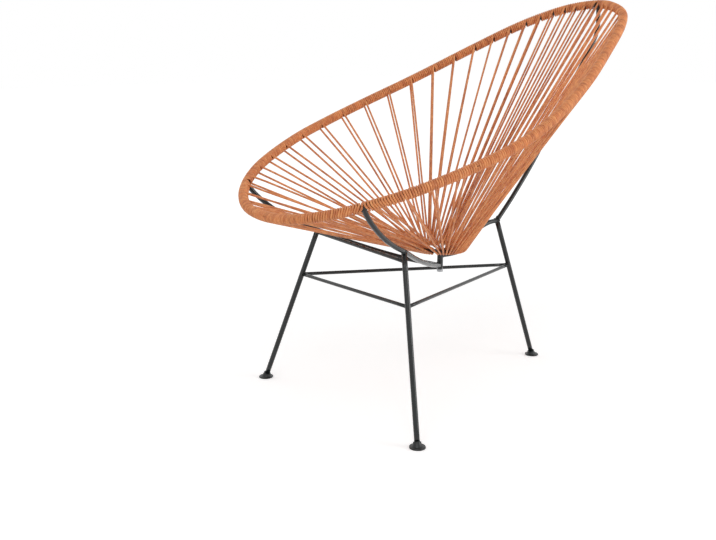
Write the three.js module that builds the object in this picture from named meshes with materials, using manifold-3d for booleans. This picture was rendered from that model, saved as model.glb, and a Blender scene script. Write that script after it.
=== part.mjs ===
// A lounge chair with a pear-shaped seat of round cord strung on a bent steel frame.
// Millimetres, +Z up, the origin on the floor under the middle of the seat, and the chair faces -Y.
// Left and right are the sitter's, so left is +X.
import * as THREE from 'three';
import { mergeVertices } from 'three/addons/utils/BufferGeometryUtils.js';
import Module from 'manifold-3d';

const wasm = await Module();
wasm.setup();

// The seat over its wound rim
const seatWidth = 678;
const seatDepth = 1031;
const seatTop = 900;
const seatFrontTop = 464;

// Rod and cord
const hoopRod = 12;
const hubRingRod = 7;
const seatFrameRod = 11;
const legRod = 12;
const crossRod = 8;
const cordDiameter = 4.8;

// Clearance where one piece seats on another
const seatGap = 0.3;
// How much of it the flats of a coarse round hole take back
const flatsShare = 1.1;

// The cord rays: each is one strand over the rim and one under it, joined by a turn round the hub ring
const raysPerHalf = 27;
// How many rays of one half each panel takes; the rib meets the hoop after the first panel
const panelRayShares = [5, 4, 4, 4, 4, 4, 2];
const raySwingShare = 0.35;
const rayLeanShare = 0.2;
const cordGapAtRing = 0.6;

// The hub: a ring on a three-armed bracket, bolted down on the boss where the ribs meet
const hubY = -25;
const hubRingAboveBoss = 11;
const bossDiameter = 14;
const bossAboveFrame = 34;
const bossHeight = 41;
const seatFrameMeetHeight = 285;
const spokeAboveRibs = 24;
const bracketPlateDiameter = 30;
const bracketPlateThickness = 4;
const bracketArmWidth = 6;
const bracketArmDepth = 8;
const bracketArmEndDepth = 6;
const hubBoltDiameter = 8;
const hubBoltHeadAcross = 13;
const hubBoltHeadHeight = 5;
const hubBoltEndLength = 3;
const hubWasherDiameter = 14;
const hubWasherThickness = 1.6;
const hubNutHeight = 6.5;

// Legs: where each axis meets the floor, and where it meets the seat frame
const frontFootX = 279;
const frontFootY = -337;
const rearFootY = 307;
const frontLegTopX = 152.5;
const frontLegTopY = -269;
const frontLegTopZ = 376;
const rearLegTopY = 162;
const rearLegTopZ = 372;
const topBarLeftDrop = 20;
const topBarRightDrop = 5;
const frontStretcherHeight = 268;
const rearStretcherHeight = 255;

// Feet
const footDiameter = 34;
const footThickness = 4;
const footEdgeBevel = 1;
const footCollarBase = 24;
const footCollarTop = 17;
const footCollarHeight = 12;
const legEndHeight = 3;

// Left half of the hoop's centre line, from front to back, as shares of its half width, depth and rise
const hoopShares = [
  [0, 0, 0], [0.294, 0.012, 0.018], [0.563, 0.06, 0.068], [0.804, 0.148, 0.149],
  [0.969, 0.288, 0.267], [1, 0.39, 0.35], [0.96, 0.491, 0.442], [0.835, 0.633, 0.584],
  [0.655, 0.778, 0.752], [0.501, 0.884, 0.875], [0.361, 0.945, 0.943], [0.195, 0.977, 0.983], [0, 1, 1],
];
// The ribs' inner reach, from boss to leg, as shares of its run and of its rise
const ribInnerShares = [[0.35, 0.27], [0.68, 0.61]];
// The ribs' outer reach, from leg to hoop, as shares of its run and of its rise
const ribOuterShares = [[0.27, 0.17], [0.58, 0.43], [0.86, 0.76]];
// The rear spoke, from boss to leg, as shares of its run and of its rise
const spokeShares = [[0.21, 0], [0.33, 0.05], [0.42, 0.24], [0.62, 0.72], [0.84, 0.96]];
// The rear upright, from leg to hoop, as shares of its run and of its rise
const uprightShares = [[0.16, 0.11], [0.4, 0.3], [0.64, 0.54], [0.855, 0.72], [1, 0.87], [1.005, 0.95]];

// Mesh steps and sides, which are counts
const rodSides = 8;
const cordSides = 6;
const stepsPerBend = 2;
const loopSteps = 4;
const roundSides = 20;
const hubRingSteps = 40;
const hexSides = 6;
const gapSteps = 8;

// Worked out from the sizes above
const rimRadius = hoopRod / 2 + seatGap + cordDiameter;
const hoopHalfWidth = seatWidth / 2 - rimRadius;
const hoopFrontY = rimRadius - seatDepth / 2;
const hoopFrontZ = seatFrontTop - rimRadius;
const hoopRun = seatDepth - rimRadius * 2;
const hoopRise = seatTop - seatFrontTop;
const strandSeat = (hoopRod + cordDiameter) / 2 + seatGap;
const halfTurn = Math.PI;
const fullTurn = Math.PI * 2;
const loopRadius = ((hubRingRod + cordDiameter) / 2 + seatGap) / Math.cos(halfTurn / loopSteps / 2);
const raysBeforeRib = panelRayShares[0];
const bossTop = seatFrameMeetHeight + bossAboveFrame;
const hubRingHeight = bossTop + hubRingAboveBoss;
const ringPitch = cordDiameter + cordGapAtRing;
const armExtra = bracketArmWidth + cordGapAtRing;
const ringLoopCircle = (raysPerHalf * 2 * ringPitch + armExtra * 3) / fullTurn;
const hubRingRadius = ringLoopCircle + loopRadius;
const bossMiddle = new THREE.Vector3(0, hubY, seatFrameMeetHeight);
const spokeStart = new THREE.Vector3(0, hubY, seatFrameMeetHeight + spokeAboveRibs);
const bracketBottom = bossTop + seatGap;
const bracketTop = bracketBottom + bracketPlateThickness;
const boltHoleRadius = hubBoltDiameter / 2 + seatGap;
const up = new THREE.Vector3(0, 0, 1);
const across = new THREE.Vector3(1, 0, 0);

const paintedSteel = new THREE.MeshStandardMaterial({ color: 0x2b3133, roughness: 0.42, metalness: 0.55 });
const zincSteel = new THREE.MeshStandardMaterial({ color: 0x3a3e40, roughness: 0.4, metalness: 0.9 });
const cordSkin = new THREE.MeshStandardMaterial({ color: 0xc4703f, roughness: 0.55, metalness: 0 });
const footSteel = new THREE.MeshStandardMaterial({ color: 0x24292b, roughness: 0.5, metalness: 0.4 });

const chair = new THREE.Group();

function place(name, shape, material) {
  const geometry = shape.isBufferGeometry ? shape : meshOf(shape);
  geometry.computeVertexNormals();
  const mesh = new THREE.Mesh(geometry, material);
  mesh.name = name;
  chair.add(mesh);
}

function indexed(vertices, triangles) {
  const geometry = new THREE.BufferGeometry();
  geometry.setAttribute('position', new THREE.Float32BufferAttribute(vertices.flatMap((v) => v.toArray()), 3));
  geometry.setIndex(triangles.flat());
  return geometry;
}

function solid(geometry) {
  const bare = geometry.clone();
  bare.deleteAttribute('normal');
  bare.deleteAttribute('uv');
  const merged = mergeVertices(bare);
  const vertProperties = new Float32Array(merged.attributes.position.array);
  const triVerts = new Uint32Array(merged.index.array);
  return new wasm.Manifold(new wasm.Mesh({ numProp: 3, vertProperties, triVerts }));
}

function meshOf(manifold) {
  const mesh = manifold.getMesh();
  const geometry = new THREE.BufferGeometry();
  geometry.setAttribute('position', new THREE.Float32BufferAttribute(mesh.vertProperties, 3));
  geometry.setIndex(Array.from(mesh.triVerts));
  return geometry;
}

// One ring of points round a path point, square to the path there; side is the direction of its first axis
function ring(point, tangent, side, radius, sides) {
  const first = side.clone().addScaledVector(tangent, -side.dot(tangent)).normalize();
  const second = tangent.clone().cross(first);
  return Array.from({ length: sides }, (_, j) => {
    const angle = (fullTurn * (j + 0.5)) / sides;
    return point.clone().addScaledVector(first, radius * Math.cos(angle))
      .addScaledVector(second, radius * Math.sin(angle));
  });
}

// Walls between rings that follow each other; a closed path joins the last ring to the first
function walls(rings, closed, offset = 0, inward = false) {
  const sides = rings[0].length;
  const triangles = [];
  const count = closed ? rings.length : rings.length - 1;
  for (let i = 0; i < count; i += 1) {
    const here = offset + i * sides;
    const next = offset + ((i + 1) % rings.length) * sides;
    for (let j = 0; j < sides; j += 1) {
      const k = (j + 1) % sides;
      const quad = [[here + j, here + k, next + k], [here + j, next + k, next + j]];
      triangles.push(...(inward ? quad.map(([a, b, c]) => [a, c, b]) : quad));
    }
  }
  return triangles;
}

function tangents(points, closed) {
  const last = points.length - 1;
  return points.map((_, i) => {
    const before = points[closed ? (i + last) % points.length : Math.max(i - 1, 0)];
    const after = points[closed ? (i + 1) % points.length : Math.min(i + 1, last)];
    return after.clone().sub(before).normalize();
  });
}

// A round bar along points, with flat ends
function bar(points, diameter, side, sides = rodSides) {
  const along = tangents(points, false);
  const rings = points.map((point, i) => ring(point, along[i], side, diameter / 2, sides));
  const triangles = walls(rings, false);
  const last = (rings.length - 1) * sides;
  for (let j = 1; j < sides - 1; j += 1) {
    triangles.push([0, j + 1, j], [last, last + j, last + j + 1]);
  }
  return solid(indexed(rings.flat(), triangles));
}

function smooth(points) {
  return new THREE.CatmullRomCurve3(points).getPoints((points.length - 1) * stepsPerBend);
}

function mirrored(point) {
  return new THREE.Vector3(-point.x, point.y, point.z);
}

function between(from, to, share) {
  return from.clone().lerp(to, share);
}

// The point on a straight line from low to high at a height
function atHeight(low, high, height) {
  return between(low, high, (height - low.z) / (high.z - low.z));
}

// Points of a bent rod between two ends, each set by its share of the run and of the rise
function bentPoints(from, to, shares) {
  return shares.map(([run, rise]) => new THREE.Vector3(
    from.x + (to.x - from.x) * run,
    from.y + (to.y - from.y) * run,
    from.z + (to.z - from.z) * rise,
  ));
}

function turned(profile) {
  return solid(new THREE.LatheGeometry(profile.map(([r, z]) => new THREE.Vector2(r, z)), roundSides)
    .rotateX(halfTurn / 2));
}

// The hoop's centre line: a smooth closed curve through the shares and their mirror images
const hoopHalf = hoopShares.map(([x, y, z]) => new THREE.Vector3(
  hoopHalfWidth * x,
  hoopFrontY + hoopRun * y,
  hoopFrontZ + hoopRise * z,
));
const hoopCurve = new THREE.CatmullRomCurve3(
  [...hoopHalf, ...hoopHalf.slice(1, -1).reverse().map(mirrored)],
  true,
);
hoopCurve.arcLengthDivisions = 2000;
const hoopNormal = new THREE.Vector3(0, -hoopRise, hoopRun).normalize();

// Where a ray's edge lies on the half hoop: rays stand closer at the front and closest at the back
function rimShare(ray) {
  const u = ray / raysPerHalf;
  return u - (raySwingShare * Math.sin(fullTurn * u)) / fullTurn + (rayLeanShare * Math.sin(halfTurn * u)) / halfTurn;
}

// Stations round the whole hoop, one at each edge between rays, front first, up the left side and back
const rayCount = raysPerHalf * 2;
const stations = Array.from({ length: rayCount }, (_, i) => {
  const ray = i <= raysPerHalf ? i : rayCount - i;
  const point = hoopCurve.getPointAt(rimShare(ray) / 2);
  return i <= raysPerHalf ? point : mirrored(point);
});
const stationTangents = tangents(stations, true);

function rimRing(position, radius) {
  const low = Math.floor(position);
  const share = position - low;
  const rings = [low, low + 1].map((i) => {
    const k = (i + rayCount) % rayCount;
    return ring(stations[k], stationTangents[k], hoopNormal, radius, rodSides);
  });
  return rings[0].map((point, j) => between(point, rings[1][j], share));
}

function rimCentre(position) {
  const low = Math.floor(position);
  return between(
    stations[(low + rayCount) % rayCount],
    stations[(low + 1 + rayCount) % rayCount],
    position - low,
  );
}

function hoopBar(diameter) {
  const rings = stations.map((_, i) => rimRing(i, diameter / 2));
  return solid(indexed(rings.flat(), walls(rings, true)));
}

// The angle round the hub ring of the middle of a ray, with room left at the bracket's three arms
function ringAngle(ray) {
  const half = ray < raysPerHalf ? ray : rayCount - 1 - ray;
  const step = ringPitch / ringLoopCircle;
  const extra = armExtra / ringLoopCircle;
  const fromFront = step * (half + 0.5) + (half >= raysBeforeRib ? extra : 0);
  return (ray < raysPerHalf ? 1 : -1) * fromFront - halfTurn / 2;
}

function onRing(angle, radius, height) {
  return new THREE.Vector3(Math.cos(angle) * radius, hubY + Math.sin(angle) * radius, height);
}

// One ray of cord: down from under the rim, round the hub ring and back up over the rim
function rayPoints(ray) {
  const angle = ringAngle(ray);
  const hubPoint = onRing(angle, hubRingRadius, hubRingHeight);
  const rimPoint = rimCentre(ray + 0.5);
  const out = rimPoint.clone().sub(hubPoint).normalize();
  const ringAlong = new THREE.Vector3(-Math.sin(angle), Math.cos(angle), 0);
  const rimAlong = stationTangents[ray].clone().add(stationTangents[(ray + 1) % rayCount]).normalize();
  const above = (along) => {
    const normal = along.clone().cross(out).normalize();
    return normal.z < 0 ? normal.negate() : normal;
  };
  const ringAbove = above(ringAlong);
  const rimAbove = above(rimAlong);
  const ringIn = ringAbove.clone().cross(ringAlong).normalize();
  if (ringIn.dot(out) > 0) ringIn.negate();
  const end = (sign) => rimPoint.clone().addScaledVector(rimAbove, sign * strandSeat)
    .addScaledVector(out, cordDiameter / 2);
  const turn = Array.from({ length: loopSteps + 1 }, (_, i) => {
    const swing = (halfTurn * i) / loopSteps - halfTurn / 2;
    return hubPoint.clone().addScaledVector(ringAbove, Math.sin(swing) * loopRadius)
      .addScaledVector(ringIn, Math.cos(swing) * loopRadius);
  });
  return { points: [end(-1), ...turn, end(1)], side: ringAlong };
}

function strandRay(ray) {
  const { points, side } = rayPoints(ray);
  return bar(points, cordDiameter, side, cordSides);
}

// The wound sleeve round the hoop between two rim positions, open at both ends
function rimSleeve(from, to) {
  const positions = [from];
  for (let i = Math.floor(from) + 1; i < to; i += 1) positions.push(i);
  positions.push(to);
  const outer = positions.map((position) => rimRing(position, rimRadius));
  const bore = positions.map((position) => rimRing(position, hoopRod / 2 + seatGap * flatsShare));
  const boreStart = outer.length * rodSides;
  const triangles = [...walls(outer, false), ...walls(bore, false, boreStart, true)];
  const lastOuter = boreStart - rodSides;
  const lastBore = boreStart + lastOuter;
  for (let j = 0; j < rodSides; j += 1) {
    const k = (j + 1) % rodSides;
    triangles.push([j, boreStart + j, boreStart + k], [j, boreStart + k, k]);
    triangles.push([lastOuter + j, lastBore + k, lastBore + j], [lastOuter + j, lastOuter + k, lastBore + k]);
  }
  return solid(indexed([...outer, ...bore].flat(), triangles));
}

// A share of the length between two stations, for a length along the rim
function alongRim(station, length) {
  const next = stations[(station + 1) % rayCount];
  return length / stations[station % rayCount].distanceTo(next);
}

// Feet, legs and the seat frame, as centre points
const frontFoot = new THREE.Vector3(frontFootX, frontFootY, 0);
const frontLegTop = new THREE.Vector3(frontLegTopX, frontLegTopY, frontLegTopZ);
const rearFoot = new THREE.Vector3(0, rearFootY, 0);
const rearLegTop = new THREE.Vector3(0, rearLegTopY, rearLegTopZ);
const ribEnd = rimCentre(raysBeforeRib);
const hoopBack = rimCentre(raysPerHalf);

const ribPath = smooth([
  bossMiddle,
  ...bentPoints(bossMiddle, frontLegTop, ribInnerShares),
  frontLegTop,
  ...bentPoints(frontLegTop, ribEnd, ribOuterShares),
  ribEnd,
]);
const spokePath = smooth([spokeStart, ...bentPoints(spokeStart, rearLegTop, spokeShares), rearLegTop]);
const uprightPath = smooth([rearLegTop, ...bentPoints(rearLegTop, hoopBack, uprightShares), hoopBack]);

const grownHoop = hoopBar(hoopRod + seatGap * flatsShare * 2);
const grownRib = bar(ribPath, seatFrameRod + seatGap * 2, up);
const grownRibs = grownRib.add(grownRib.mirror([1, 0, 0]));
const grownUpright = bar(uprightPath, seatFrameRod + seatGap * 2, across);

function bossBody(radius, margin) {
  const bottom = bossTop - bossHeight - margin;
  const top = bossTop + margin;
  return turned([[0, bottom], [radius, bottom], [radius, top], [0, top]]).translate([0, hubY, 0]);
}

function addSeatHoop() {
  place('seat_hoop', hoopBar(hoopRod), paintedSteel);
}

function addHub() {
  const grownBoss = bossBody(bossDiameter / 2 + seatGap, seatGap);
  const bossBottom = bossTop - bossHeight;
  const boltHole = turned([
    [0, bossBottom - seatGap * 2], [boltHoleRadius, bossBottom - seatGap * 2],
    [boltHoleRadius, bracketTop + seatGap * 2], [0, bracketTop + seatGap * 2],
  ]).translate([0, hubY, 0]);
  place('hub_boss', bossBody(bossDiameter / 2, 0).subtract(boltHole), paintedSteel);

  const ringTorus = (diameter) => new THREE.TorusGeometry(hubRingRadius, diameter / 2, rodSides, hubRingSteps)
    .translate(0, hubY, hubRingHeight);
  place('hub_ring', solid(ringTorus(hubRingRod)), paintedSteel);

  const plateRadius = bracketPlateDiameter / 2;
  let bracket = turned([[0, bracketBottom], [plateRadius, bracketBottom], [plateRadius, bracketTop], [0, bracketTop]])
    .translate([0, hubY, 0]);
  const armAngle = (ringAngle(raysBeforeRib - 1) + ringAngle(raysBeforeRib)) / 2;
  for (const angle of [armAngle, -halfTurn - armAngle, halfTurn / 2]) bracket = bracket.add(bracketArm(angle));
  bracket = bracket.subtract(solid(ringTorus(hubRingRod + seatGap * 2))).subtract(boltHole).subtract(grownBoss);
  place('hub_bracket', bracket, paintedSteel);
  addHubBolt(bossBottom);
  return grownBoss;
}

// A flat bar on edge from the boss up to the hub ring, drawn from the side and then turned to its angle
function bracketArm(angle) {
  const side = new THREE.Shape([
    [bossDiameter / 2, bracketTop - bracketArmDepth], [hubRingRadius, hubRingHeight - bracketArmEndDepth / 2],
    [hubRingRadius, hubRingHeight + bracketArmEndDepth / 2], [bossDiameter / 2, bracketTop],
  ].map(([reach, height]) => new THREE.Vector2(reach, height)));
  return solid(new THREE.ExtrudeGeometry(side, { depth: bracketArmWidth, bevelEnabled: false })
    .translate(0, 0, -bracketArmWidth / 2).rotateX(halfTurn / 2).rotateZ(angle).translate(0, hubY, 0));
}

function hexPrism(acrossFlats, low, high) {
  const corner = acrossFlats / 2 / Math.cos(halfTurn / hexSides);
  const profile = [[0, low], [corner, low], [corner, high], [0, high]];
  return solid(new THREE.LatheGeometry(profile.map(([r, z]) => new THREE.Vector2(r, z)), hexSides)
    .rotateX(halfTurn / 2));
}

function addHubBolt(bossBottom) {
  const washerTop = bossBottom - seatGap;
  const washerBottom = washerTop - hubWasherThickness;
  const headTop = washerBottom - seatGap;
  const nutBottom = bracketTop + seatGap;
  const nutTop = nutBottom + hubNutHeight;
  const boltEnd = nutTop + hubBoltEndLength;
  const cylinder = (radius, low, high) => turned([[0, low], [radius, low], [radius, high], [0, high]]);
  const boltHole = cylinder(boltHoleRadius, washerBottom - seatGap, nutTop + seatGap);
  const head = hexPrism(hubBoltHeadAcross, headTop - hubBoltHeadHeight, headTop);
  const shank = cylinder(hubBoltDiameter / 2, headTop - hubBoltHeadHeight / 2, boltEnd);
  const washer = cylinder(hubWasherDiameter / 2, washerBottom, washerTop).subtract(boltHole);
  const nut = hexPrism(hubBoltHeadAcross, nutBottom, nutTop).subtract(boltHole);
  place('hub_bolt', head.add(shank).translate([0, hubY, 0]), zincSteel);
  place('hub_washer', washer.translate([0, hubY, 0]), zincSteel);
  place('hub_nut', nut.translate([0, hubY, 0]), zincSteel);
}

function addSeatFrame(grownBoss) {
  // The two ribs meet at the boss, each trimmed at the middle plane
  const rib = bar(ribPath, seatFrameRod, up).subtract(grownHoop).subtract(grownBoss)
    .trimByPlane([1, 0, 0], seatGap / 2);
  place('left_rib', rib, paintedSteel);
  place('right_rib', rib.mirror([1, 0, 0]), paintedSteel);
  const grownLegTop = atHeight(rearFoot, rearLegTop, rearLegTopZ + seatGap);
  const grownLeg = bar([rearFoot, grownLegTop], legRod + seatGap * 2, across);
  const spoke = bar(spokePath, seatFrameRod, across).subtract(grownBoss).subtract(grownLeg);
  place('rear_spoke', spoke, paintedSteel);
  const grownSpoke = bar(spokePath, seatFrameRod + seatGap * 2, across);
  const upright = bar(uprightPath, seatFrameRod, across).subtract(grownHoop).subtract(grownLeg).subtract(grownSpoke);
  place('rear_upright', upright, paintedSteel);
}

function footBody(foot, top) {
  const radius = footDiameter / 2;
  const disc = turned([
    [0, 0], [radius - footEdgeBevel, 0], [radius, footEdgeBevel], [radius, footThickness - footEdgeBevel],
    [radius - footEdgeBevel, footThickness], [0, footThickness],
  ]).translate(foot.toArray());
  const lean = top.clone().sub(foot).normalize();
  const collar = new THREE.CylinderGeometry(
    footCollarTop / 2,
    footCollarBase / 2,
    footCollarHeight,
    roundSides,
  ).rotateX(halfTurn / 2).translate(0, 0, footCollarHeight / 2);
  collar.applyQuaternion(new THREE.Quaternion().setFromUnitVectors(up, lean));
  collar.translate(foot.x, foot.y, footThickness / 2);
  const floor = new THREE.BoxGeometry(footDiameter * 2, footDiameter * 2, footDiameter)
    .translate(foot.x, foot.y, -footDiameter / 2);
  return disc.add(solid(collar).subtract(solid(floor)));
}

function addLegs() {
  const ends = [
    { name: 'front_left', foot: frontFoot, top: frontLegTop },
    { name: 'front_right', foot: mirrored(frontFoot), top: mirrored(frontLegTop) },
    { name: 'rear', foot: rearFoot, top: rearLegTop },
  ];
  for (const { name, foot, top } of ends) {
    const bottom = atHeight(foot, top, legEndHeight);
    const socketEnd = atHeight(foot, top, legEndHeight - seatGap);
    const socket = bar([socketEnd, top], legRod + seatGap * 2, across);
    place(`${name}_leg`, bar([bottom, top], legRod, across).subtract(grownRibs), paintedSteel);
    place(`${name}_foot`, footBody(foot, top).subtract(socket), footSteel);
  }
}

function addCrossBars() {
  const left = (height) => atHeight(frontFoot, frontLegTop, height);
  const right = (height) => mirrored(left(height));
  const rear = atHeight(rearFoot, rearLegTop, rearStretcherHeight);
  const grownLegs = [[frontFoot, frontLegTop], [mirrored(frontFoot), mirrored(frontLegTop)], [rearFoot, rearLegTop]]
    .map((ends) => bar(ends, legRod + seatGap * 2, across))
    .reduce((all, leg) => all.add(leg));
  const grownFront = bar([left(frontStretcherHeight), right(frontStretcherHeight)], crossRod + seatGap * 2, up);
  const crossBar = (ends) => bar(ends, crossRod, up).subtract(grownLegs);
  const topBar = crossBar([left(frontLegTopZ - topBarLeftDrop), right(frontLegTopZ - topBarRightDrop)]);
  place('front_top_bar', topBar.subtract(grownRibs), paintedSteel);
  place('front_stretcher', crossBar([left(frontStretcherHeight), right(frontStretcherHeight)]), paintedSteel);
  const leftStretcher = crossBar([left(frontStretcherHeight), rear]).subtract(grownFront);
  const grownLeft = bar([left(frontStretcherHeight), rear], crossRod + seatGap * 2, up);
  const rightStretcher = crossBar([right(frontStretcherHeight), rear]).subtract(grownFront).subtract(grownLeft);
  place('left_stretcher', leftStretcher, paintedSteel);
  place('right_stretcher', rightStretcher, paintedSteel);
}

// Cord panels: the rays between two joints or panel edges, with the wound sleeve that they leave from
function addCordPanels() {
  let from = 0;
  panelRayShares.forEach((rays, index) => {
    const to = from + rays;
    const start = from + alongRim(from, from === raysBeforeRib ? seatFrameRod / 2 + seatGap * 2 : seatGap);
    const endLength = to === raysBeforeRib || to === raysPerHalf ? seatFrameRod / 2 + seatGap * 2 : seatGap;
    const end = to - alongRim(to - 1, endLength);
    let panel = rimSleeve(start, end);
    for (let ray = from; ray < to; ray += 1) panel = panel.add(strandRay(ray));
    panel = panel.subtract(grownRibs).subtract(grownUpright);
    place(`cord_panel_left_${index + 1}`, panel, cordSkin);
    place(`cord_panel_right_${index + 1}`, panel.mirror([1, 0, 0]), cordSkin);
    from = to;
  });
}

// The least gap between neighbouring rays, and between the strands of one ray, on points of their paths
function printLeastGap() {
  const lines = Array.from({ length: rayCount }, (_, ray) => rayPoints(ray).points);
  let least = Infinity;
  for (let ray = 0; ray < rayCount; ray += 1) {
    const own = lines[ray];
    const other = lines[(ray + 1) % rayCount];
    for (let i = 1; i < own.length; i += 1) {
      for (let j = 1; j < other.length; j += 1) {
        least = Math.min(least, segmentGap(own[i - 1], own[i], other[j - 1], other[j]));
      }
    }
    least = Math.min(least, segmentGap(own[0], own[1], own[own.length - 2], own[own.length - 1]));
  }
  console.log(`least gap between cords ${(least - cordDiameter).toFixed(3)} mm`);
}

function segmentGap(a, b, c, d) {
  const steps = Array.from({ length: gapSteps + 1 }, (_, i) => i / gapSteps);
  const line = new THREE.Line3(c, d);
  const nearest = new THREE.Vector3();
  return Math.min(...steps.map((share) => {
    const point = between(a, b, share);
    line.closestPointToPoint(point, true, nearest);
    return nearest.distanceTo(point);
  }));
}

addSeatHoop();
addSeatFrame(addHub());
addLegs();
addCrossBars();
addCordPanels();
printLeastGap();

export default chair;
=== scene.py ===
"""Looks for a strung lounge chair: a round cord wound on a pear-shaped hoop, on a steel frame.

Lengths are metres in the frame of the packed model: +Z up, the floor at z 0, the chair faces -Y,
and left is the sitter's left, which is +X.
"""

import math

import bpy
import numpy as np
from bpy.props import FloatProperty, FloatVectorProperty, IntProperty, PointerProperty
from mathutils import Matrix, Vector


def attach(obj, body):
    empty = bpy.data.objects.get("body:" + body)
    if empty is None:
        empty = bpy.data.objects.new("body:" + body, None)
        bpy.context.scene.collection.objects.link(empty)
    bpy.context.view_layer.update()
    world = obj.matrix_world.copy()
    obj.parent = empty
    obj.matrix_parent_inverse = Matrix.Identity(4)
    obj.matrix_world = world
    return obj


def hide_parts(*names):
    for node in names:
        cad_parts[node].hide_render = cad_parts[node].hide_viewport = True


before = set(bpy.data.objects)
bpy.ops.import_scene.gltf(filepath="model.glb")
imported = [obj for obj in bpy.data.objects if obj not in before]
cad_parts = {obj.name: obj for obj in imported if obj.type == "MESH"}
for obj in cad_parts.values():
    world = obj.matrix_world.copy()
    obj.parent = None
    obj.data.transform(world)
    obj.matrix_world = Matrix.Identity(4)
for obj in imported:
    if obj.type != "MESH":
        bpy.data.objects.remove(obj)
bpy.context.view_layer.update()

bl_info = {
    "name": "Strung lounge chair",
    "version": (1, 0, 0),
    "blender": (4, 5, 0),
    "location": "View3D > Sidebar > Chair",
    "description": "Builds a cord-strung lounge chair on a bent steel frame",
    "category": "Add Mesh",
}

TURN = 2 * math.pi
UP = np.array([0.0, 0.0, 1.0])
ACROSS = np.array([1.0, 0.0, 0.0])
TO_OTHER_SIDE = np.array([-1.0, 1.0, 1.0])

# The hoop's left half from front to back, as shares of its half width, depth and rise
HOOP_SHARES = [
    (0, 0, 0), (0.294, 0.012, 0.018), (0.563, 0.06, 0.068), (0.804, 0.148, 0.149),
    (0.969, 0.288, 0.267), (1, 0.39, 0.35), (0.96, 0.491, 0.442), (0.835, 0.633, 0.584),
    (0.655, 0.778, 0.752), (0.501, 0.884, 0.875), (0.361, 0.945, 0.943), (0.195, 0.977, 0.983),
    (0, 1, 1),
]
# Bends of the rods, as shares of their run and of their rise
RIB_INNER_SHARES = [(0.35, 0.27), (0.68, 0.61)]
RIB_OUTER_SHARES = [(0.27, 0.17), (0.58, 0.43), (0.86, 0.76)]
SPOKE_SHARES = [(0.21, 0), (0.33, 0.05), (0.42, 0.24), (0.62, 0.72), (0.84, 0.96)]
UPRIGHT_SHARES = [(0.16, 0.11), (0.4, 0.3), (0.64, 0.54), (0.855, 0.72), (1, 0.87), (1.005, 0.95)]
# Where one cord panel ends and the next begins, counted in rays from the front middle
PANEL_EDGES = [0, 5, 9, 13, 17, 21, 25, 27]
# A rib meets the hoop where the first panel ends
RIB_RAY = PANEL_EDGES[1]
# Sides of the round sections
CORD_SIDES, BEAD_SIDES = 8, 8
HOOP_SIDES, CROSS_ROD_SIDES, ROD_SIDES, LEG_SIDES = 16, 18, 20, 24
FOOT_SIDES, HEX_SIDES, THREAD_SIDES = 56, 72, 24


def length(name, default, description):
    """A length property in metres."""
    return FloatProperty(
        name=name, default=default, description=description, unit="LENGTH", precision=5)


class ChairSeatSizes(bpy.types.PropertyGroup):
    """Sizes of the hoop, of the cord wound on it and of the strands."""

    seat_width: length("Seat width", 0.678, "Across the seat, outside the winding")
    seat_depth: length("Seat depth", 1.031, "From the front of the winding to its back, level")
    seat_top: length("Seat top", 0.9, "Top of the winding at the back")
    front_top: length("Front top", 0.464, "Top of the winding at the front")
    hoop_rod: length("Hoop rod", 0.012, "Diameter of the hoop's steel rod")
    cord: length("Cord", 0.0048, "Diameter of the cord")
    seat_gap: length("Seating gap", 0.0003, "Clearance under the cord")
    turn_pitch: length("Turn pitch", 0.00482, "From one turn of the winding to the next, at least")
    hand_play: length("Hand play", 0.00018, "How unevenly a hand lays the turns")
    post_spread: length("Post spread", 0.13, "How far from a rod's end the turns lean over it")
    strand_bow: length("Strand bow", 0.0007, "How far a strand bows off its straight line")
    rays_per_half: IntProperty(
        name="Rays per half", default=27, description="Rays of cord on each side")
    ray_swing: FloatProperty(
        name="Ray swing", default=0.35,
        description="How much closer rays stand at the front and back")
    ray_lean: FloatProperty(
        name="Ray lean", default=0.2, description="How much closer rays stand at the back")


class ChairHubSizes(bpy.types.PropertyGroup):
    """Sizes of the ring under the seat and of what holds it."""

    hub_y: length("Hub place", -0.025, "How far behind the middle the hub stands")
    ring_height: length("Ring height", 0.330, "Height of the hub ring's centre line")
    ring_rod: length("Ring rod", 0.007, "Diameter of the hub ring's rod")
    cord_gap: length("Cord gap", 0.0006, "Gap between turns on the ring")
    arm_width: length("Arm width", 0.006, "Width of the bracket's arms")
    arm_depth: length("Arm depth", 0.008, "Depth of the bracket's arms beside the boss")
    arm_end_depth: length("Arm end depth", 0.006, "Depth of the bracket's arms at the ring")
    boss_diameter: length("Boss diameter", 0.014, "Turned boss where the ribs meet")
    boss_top: length("Boss top", 0.319, "Top of the boss")
    boss_height: length("Boss height", 0.041, "Height of the boss")
    meet_height: length("Meeting height", 0.285, "Where the ribs' centre lines meet")
    spoke_rise: length("Spoke rise", 0.024, "How far above the ribs the rear spoke leaves the boss")
    plate_diameter: length("Plate diameter", 0.030, "Plate of the bracket")
    plate_thickness: length("Plate thickness", 0.004, "Plate of the bracket")
    bolt: length("Bolt", 0.008, "Diameter of the hub bolt")
    bolt_pitch: length("Thread pitch", 0.00125, "Pitch of the hub bolt's thread")
    head_across: length("Head across flats", 0.013, "Width of the bolt's head and of the nut")
    head_height: length("Head height", 0.005, "Height of the bolt's head")
    bolt_end: length("Bolt end", 0.003, "How far the bolt stands above its nut")
    washer_diameter: length("Washer diameter", 0.014, "Washer under the boss")
    washer_thickness: length("Washer thickness", 0.0016, "Washer under the boss")
    nut_height: length("Nut height", 0.0065, "Height of the nut")


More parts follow.
